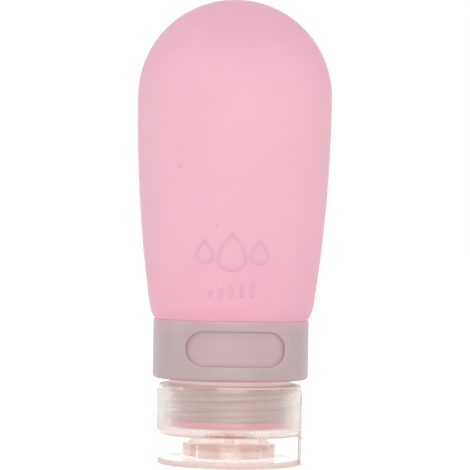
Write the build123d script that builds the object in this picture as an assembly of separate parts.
from build123d import *
import math
import os

# A squeezable travel bottle that stands upside down on its closed flip lid.
# Z runs up the bottle's axis from the lid's outer face, +X points to the lid's hinge
# and the label window faces -Y. Sizes are in millimetres and angles in degrees.

# Silicone body
dome_r = 22.2  # the widest radius and the radius of the round end
flank_h = 50.89  # shoulder to widest section
flank_arc_r = 333.0  # the long slow curve of the sides
body_wall = 2.0
shoulder_t = 2.0
shoulder_round_r = 8.0  # where the sides turn in over the collar
shoulder_round_h = 3.4
shoulder_edge_r = 0.3
inner_round_share = 0.65  # of the shoulder's inner width, rounded up into the sides
throat_share = 0.2  # of the same width, rounded down into the neck
neck_r = 12.6
neck_wall = 1.8
lip_out = 1.4  # the thick end of the neck, which seals against the cap's deck
lip_t = 1.8
lip_edge_r = 0.5

# Flip lid
plate_inset = 0.25  # inside the cap's side
plate_t = 1.23
plate_edge_r = 0.3
ring_h = 3.55  # above the plate
ring_wall = 1.5
ring_edge_r = 0.4
ring_foot_r = 0.6
pin_r = 1.25
pin_tip_r = 0.5
hinge_wall_t = 0.62
hinge_wall_w = 8.6
hinge_inset = 0.05  # the flat hinge side lies this far inside the cap's side

# Screw cap
thread_room = 1.15  # sleeve to the cap's bore, for the thread
cap_wall = 1.40
cap_h = 11.67
cap_corner_r = 1.2
cap_inner_corner_r = 0.6
deck_t = 1.9
band_h = 1.37  # the smooth band at the open end
band_step = 0.25
band_edge_r = 0.3
rib_count = 120
rib_out = 0.12
rib_h = 9.40
rib_start = 0.8  # above the deck's outer face
rib_root_in = 0.02
rib_ring_t = 0.6
boss_r = 8.95
boss_wall = 1.35
boss_h = 3.42
boss_edge_r = 0.3
mouth_r = 4.5
cup_wall = 0.9  # the short tube on the inner face that holds the valve
cup_h = 2.6
cup_edge_r = 0.2

# Living hinge
film_t = 0.25
film_w = 7.4
film_grip = 0.35  # how far it reaches onto the lid's wall and the cap's land
land_h = 1.6
land_depth = 2.2
leaf_h = 9.25  # the hinge's flat leaf runs on up the cap's side
leaf_depth = 0.95

# Slit valve and its retainer
valve_r = 7.0
valve_rim_t = 1.0
valve_rim_w = 1.9
membrane_t = 0.55
membrane_rise = 0.9  # the middle is dished in towards the bottle
slit_length = 5.2
slit_w = 0.12
retainer_t = 1.3
retainer_w = 1.5
retainer_edge_r = 0.25

# Neck sleeve
sleeve_wall = 1.3
sleeve_edge_r = 0.25
flange_t = 1.0
sleeve_rib_count = 12
sleeve_rib_w = 1.1
sleeve_rib_out = 2.03

# Label ring
label_t = 0.9

# Collar
collar_wall = 0.7
collar_h = 13.45
collar_floor_t = 1.04
collar_foot_r = 1.0
collar_top_edge_r = 0.25
window_w = 22.2
window_h = 7.8
window_turn = 4.5  # the window stands a little to the right of the front
window_edge = 0.3
window_low = 3.34  # collar's lower edge to the window

# Clearances
seal_gap = 0.1  # neck lip to the cap's deck
snap_gap = 0.3  # lid's ring to the cap's boss
lid_gap = 1.76  # lid's ring to the cap's deck
hinge_gap = 0.29  # lid's wall to the cap's land
pin_gap = 0.35
seat_gap = 0.05  # between pieces that are pushed together
turn_gap = 0.3  # round the flange that the collar turns on
floor_gap = 0.1  # under that flange
collar_gap = 1.15  # cap to collar
shoulder_gap = 0.1  # collar to shoulder
label_gap = 0.15
overrun = 1.0  # how far cutting tools reach past what they cut

# Heights along the axis, from the lid's outer face up
ring_top = plate_t + ring_h
deck_low = ring_top + lid_gap
deck_top = deck_low + deck_t
boss_low = deck_low - boss_h
cap_top = deck_low + cap_h
lip_low = deck_top + seal_gap
lip_top = lip_low + lip_t
collar_low = cap_top + collar_gap
collar_floor = collar_low + collar_floor_t
collar_top = collar_low + collar_h
flange_low = collar_floor + floor_gap
flange_top = flange_low + flange_t
shoulder_z = collar_top + shoulder_gap
wide_z = shoulder_z + flank_h
body_top = wide_z + dome_r
valve_low = deck_top + seat_gap
retainer_low = valve_low + valve_rim_t + seat_gap

# Radii and places that follow from the sizes above
neck_bore_r = neck_r - neck_wall
lip_r = neck_r + lip_out
sleeve_bore_r = neck_r + seat_gap
sleeve_r = sleeve_bore_r + sleeve_wall
label_bore_r = sleeve_r + sleeve_rib_out + seat_gap
label_r = label_bore_r + label_t
collar_bore_r = label_r + label_gap
collar_r = collar_bore_r + collar_wall
flange_r = collar_bore_r - turn_gap
cap_bore_r = sleeve_r + thread_room
cap_r = cap_bore_r + cap_wall  # in the grooves between the ribs
plate_r = cap_r - plate_inset
boss_bore_r = boss_r - boss_wall
ring_bore_r = boss_r + snap_gap
ring_r = ring_bore_r + ring_wall
cup_bore_r = valve_r + seat_gap * 2
cup_r = cup_bore_r + cup_wall
hinge_face_x = cap_r - hinge_inset
hinge_wall_top = deck_low - hinge_gap
hinge_x = hinge_face_x + film_t
hinge_z = (hinge_wall_top + deck_low) / 2


def turned(face):
    """Spin a face that is drawn as radius and height round the bottle's axis."""
    return revolve(Plane.XZ * face, Axis.Z)


def outline(points, corners=()):
    """A closed outline of radius and height points, with the named corners rounded."""
    return rounded(make_face(Polyline(*points, close=True)), corners)


def rounded(face, corners):
    """Round the corner of a face nearest to each given point."""
    for point, radius in corners:
        corner = face.vertices().sort_by_distance(Vector(*point))[0]
        face = fillet(corner, radius)
    return face


def flank_point(offset, z):
    """Radius of the side's long curve at height z, moved in by offset."""
    drop = wide_z - z
    return dome_r - flank_arc_r + math.sqrt((flank_arc_r - offset) ** 2 - drop ** 2)


def side_curves(offset, low_z):
    """The dome and the long side curve, from the top of the axis down to low_z."""
    radius = flank_arc_r - offset
    angle = math.degrees(math.asin((wide_z - low_z) / radius))
    dome = CenterArc((0, wide_z), dome_r - offset, 0, 90)
    flank = CenterArc((dome_r - flank_arc_r, wide_z), radius, -angle, angle)
    return [dome, flank]


def shoulder_arc():
    """The arc that carries the side in to the collar's edge, and its lower end."""
    start_z = shoulder_z + shoulder_round_h
    start_r = flank_point(0, start_z)
    centre_r = dome_r - flank_arc_r
    share = (flank_arc_r - shoulder_round_r) / flank_arc_r
    arc_r = centre_r + (start_r - centre_r) * share
    arc_z = wide_z + (start_z - wide_z) * share
    end_r = arc_r + math.sqrt(shoulder_round_r ** 2 - (arc_z - shoulder_z) ** 2)
    high_angle = math.degrees(math.atan2(start_z - arc_z, start_r - arc_r))
    low_angle = math.degrees(math.atan2(shoulder_z - arc_z, end_r - arc_r))
    arc = CenterArc((arc_r, arc_z), shoulder_round_r, low_angle, high_angle - low_angle)
    return arc, end_r


def silicone_body():
    """The soft bottle: dome, long sides, rounded shoulder, neck and sealing lip."""
    arc, shoulder_r = shoulder_arc()
    neck = Polyline(
        (shoulder_r, shoulder_z),
        (neck_r, shoulder_z),
        (neck_r, lip_top),
        (lip_r, lip_top),
        (lip_r, lip_low),
        (0, lip_low),
        (0, body_top),
    )
    outside = rounded(
        make_face([*side_curves(0, shoulder_z + shoulder_round_h), arc, *neck.edges()]),
        [
            ((shoulder_r, shoulder_z), shoulder_edge_r),
            ((lip_r, lip_top), lip_edge_r),
            ((lip_r, lip_low), lip_edge_r),
        ],
    )
    floor_z = shoulder_z + shoulder_t
    side_r = flank_point(body_wall, floor_z)
    floor_w = side_r - neck_bore_r
    bore = Polyline(
        (side_r, floor_z),
        (neck_bore_r, floor_z),
        (neck_bore_r, lip_low - overrun),
        (0, lip_low - overrun),
        (0, body_top - body_wall),
    )
    inside = rounded(
        make_face([*side_curves(body_wall, floor_z), *bore.edges()]),
        [
            ((side_r, floor_z), floor_w * inner_round_share),
            ((neck_bore_r, floor_z), floor_w * throat_share),
        ],
    )
    return turned(outside) - turned(inside)


def neck_sleeve():
    """The stiff tube on the neck, with the flange and ribs that carry collar and label."""
    low = lip_top + seat_gap
    high = shoulder_z - seat_gap
    tube = outline(
        [
            (sleeve_bore_r, low),
            (sleeve_r, low),
            (sleeve_r, flange_low),
            (flange_r, flange_low),
            (flange_r, flange_top),
            (sleeve_r, flange_top),
            (sleeve_r, high),
            (sleeve_bore_r, high),
        ],
        [((sleeve_r, low), sleeve_edge_r), ((sleeve_r, high), sleeve_edge_r)],
    )
    rib_low = flange_top - seat_gap
    rib_high = collar_top - seat_gap
    rib = Pos(sleeve_r - sleeve_wall / 2, 0, rib_low) * Box(
        sleeve_rib_out + sleeve_wall / 2,
        sleeve_rib_w,
        rib_high - rib_low,
        align=(Align.MIN, Align.CENTER, Align.MIN),
    )
    turns = [Rot(0, 0, step * 360 / sleeve_rib_count) for step in range(sleeve_rib_count)]
    return turned(tube) + [turn * rib for turn in turns]


def label_ring():
    """The plain ring behind the window, which carries the marks."""
    low = flange_top + seat_gap
    high = collar_top - seat_gap
    return turned(
        outline(
            [(label_bore_r, low), (label_r, low), (label_r, high), (label_bore_r, high)]
        )
    )


def collar():
    """The outer ring with its label window and the floor that hooks under the flange."""
    ring = turned(
        outline(
            [
                (sleeve_r + turn_gap, collar_low),
                (collar_r, collar_low),
                (collar_r, collar_top),
                (collar_bore_r, collar_top),
                (collar_bore_r, collar_floor),
                (sleeve_r + turn_gap, collar_floor),
            ],
            [
                ((collar_r, collar_low), collar_foot_r),
                ((collar_r, collar_top), collar_top_edge_r),
            ],
        )
    )
    middle_z = collar_low + window_low + window_h / 2
    slot = Plane.XZ * Pos(0, middle_z) * SlotOverall(window_w, window_h)
    ring -= Rot(0, 0, window_turn) * extrude(slot, collar_r + overrun)
    outer = ring.faces().filter_by(GeomType.CYLINDER).sort_by(lambda face: face.radius)[-1]
    rim = outer.inner_wires()[0].edges()
    return fillet(rim, window_edge)


def rib_ring():
    """The fine upright ribs round the cap, as one toothed ring."""
    points = []
    for step in range(rib_count):
        for share, radius in ((0, cap_r + rib_root_in), (1, cap_r + rib_out)):
            angle = math.radians((step + share / 2) * 360 / rib_count)
            points.append((radius * math.cos(angle), radius * math.sin(angle)))
    face = make_face(Polyline(*points, close=True)) - Circle(cap_r - rib_ring_t)
    return Pos(0, 0, deck_low + rib_start) * extrude(face, rib_h)


def screw_cap():
    """The ribbed cap: deck, side wall, mouth, boss for the lid and cup for the valve."""
    band_low = cap_top - band_h
    shell = outline(
        [
            (mouth_r, deck_low),
            (boss_bore_r, deck_low),
            (boss_bore_r, boss_low),
            (boss_r, boss_low),
            (boss_r, deck_low),
            (cap_r, deck_low),
            (cap_r, band_low),
            (cap_r - band_step, band_low),
            (cap_r - band_step, cap_top),
            (cap_bore_r, cap_top),
            (cap_bore_r, deck_top),
            (cup_r, deck_top),
            (cup_r, deck_top + cup_h),
            (cup_bore_r, deck_top + cup_h),
            (cup_bore_r, deck_top),
            (mouth_r, deck_top),
        ],
        [
            ((cap_r, deck_low), cap_corner_r),
            ((cap_r - band_step, cap_top), band_edge_r),
            ((cap_bore_r, deck_top), cap_inner_corner_r),
            ((boss_r, boss_low), boss_edge_r),
            ((boss_bore_r, boss_low), boss_edge_r),
            ((cup_r, deck_top + cup_h), cup_edge_r),
        ],
    )
    land = Pos(hinge_face_x, 0, deck_low) * Box(
        land_depth,
        hinge_wall_w,
        land_h,
        align=(Align.MAX, Align.CENTER, Align.MIN),
    )
    bore = Pos(0, 0, deck_top) * Cylinder(
        cap_bore_r - cap_inner_corner_r, cap_h, align=(Align.CENTER, Align.CENTER, Align.MIN)
    )
    leaf = Pos(hinge_face_x, 0, deck_low) * Box(
        leaf_depth,
        hinge_wall_w,
        leaf_h,
        align=(Align.MAX, Align.CENTER, Align.MIN),
    )
    # the ribs stop at both sides of the leaf, whose face is flat
    trim = Pos(hinge_face_x, 0, deck_low) * Box(
        overrun,
        hinge_wall_w,
        leaf_h,
        align=(Align.MIN, Align.CENTER, Align.MIN),
    )
    return turned(shell) + rib_ring() + (land - bore) + leaf - trim


def flip_lid():
    """The lid: plate, ring that snaps over the boss, centre pin and hinge wall."""
    pin_top = valve_low - pin_gap
    plate = outline(
        [
            (0, 0),
            (plate_r, 0),
            (plate_r, plate_t),
            (ring_r, plate_t),
            (ring_r, ring_top),
            (ring_bore_r, ring_top),
            (ring_bore_r, plate_t),
            (pin_r, plate_t),
            (pin_r, pin_top),
            (0, pin_top),
        ],
        [
            ((plate_r, 0), plate_edge_r),
            ((plate_r, plate_t), plate_edge_r),
            ((ring_r, ring_top), ring_edge_r),
            ((ring_bore_r, ring_top), ring_edge_r),
            ((ring_bore_r, plate_t), ring_foot_r),
            ((pin_r, pin_top), pin_tip_r),
        ],
    )
    wall = Pos(hinge_face_x, 0, plate_edge_r) * Box(
        hinge_wall_t,
        hinge_wall_w,
        hinge_wall_top - plate_edge_r,
        align=(Align.MAX, Align.CENTER, Align.MIN),
    )
    return turned(plate) + wall


def living_hinge():
    """The thin film on the outside of the lid's wall and the cap's land."""
    low = hinge_wall_top - film_grip
    high = deck_low + film_grip
    return Pos(hinge_face_x, 0, low) * Box(
        film_t,
        film_w,
        high - low,
        align=(Align.MIN, Align.CENTER, Align.MIN),
    )


def slit_valve():
    """The soft valve: a thick rim and a thin dished middle with a crossed slit."""
    dish_r = valve_r - valve_rim_w
    rim = outline(
        [
            (dish_r, valve_low),
            (valve_r, valve_low),
            (valve_r, valve_low + valve_rim_t),
            (dish_r, valve_low + valve_rim_t),
        ]
    )
    # the dish is a spherical skin that rises from the rim by membrane_rise
    rise_r = (dish_r ** 2 + membrane_rise ** 2) / (2 * membrane_rise)
    centre_z = valve_low + membrane_rise - rise_r
    at_centre = Pos(0, 0, centre_z)
    skin = at_centre * (Sphere(rise_r + membrane_t) - Sphere(rise_r))
    core = Pos(0, 0, valve_low) * Cylinder(
        dish_r + seat_gap,
        membrane_rise + membrane_t * 2,
        align=(Align.CENTER, Align.CENTER, Align.MIN),
    )
    slit = Pos(0, 0, valve_low) * Box(
        slit_length,
        slit_w,
        membrane_rise + membrane_t * 2,
        align=(Align.CENTER, Align.CENTER, Align.MIN),
    )
    return turned(rim) + (skin & core) - slit - Rot(0, 0, 90) * slit


def valve_retainer():
    """The ring that presses the valve's rim onto the deck."""
    high = retainer_low + retainer_t
    inner_r = valve_r - retainer_w
    return turned(
        outline(
            [
                (inner_r, retainer_low),
                (valve_r, retainer_low),
                (valve_r, high),
                (inner_r, high),
            ],
            [((valve_r, high), retainer_edge_r), ((inner_r, high), retainer_edge_r)],
        )
    )


pieces = {
    "silicone_body": silicone_body(),
    "neck_sleeve": neck_sleeve(),
    "label_ring": label_ring(),
    "collar": collar(),
    "screw_cap": screw_cap(),
    "living_hinge": living_hinge(),
    "flip_lid": flip_lid(),
    "slit_valve": slit_valve(),
    "valve_retainer": valve_retainer(),
}

os.makedirs("parts", exist_ok=True)
for name, piece in pieces.items():
    export_step(piece, f"parts/{name}.step")
    print(name, "volume", round(piece.volume, 1))
print("lid hinge axis at x", round(hinge_x, 3), "z", round(hinge_z, 3))
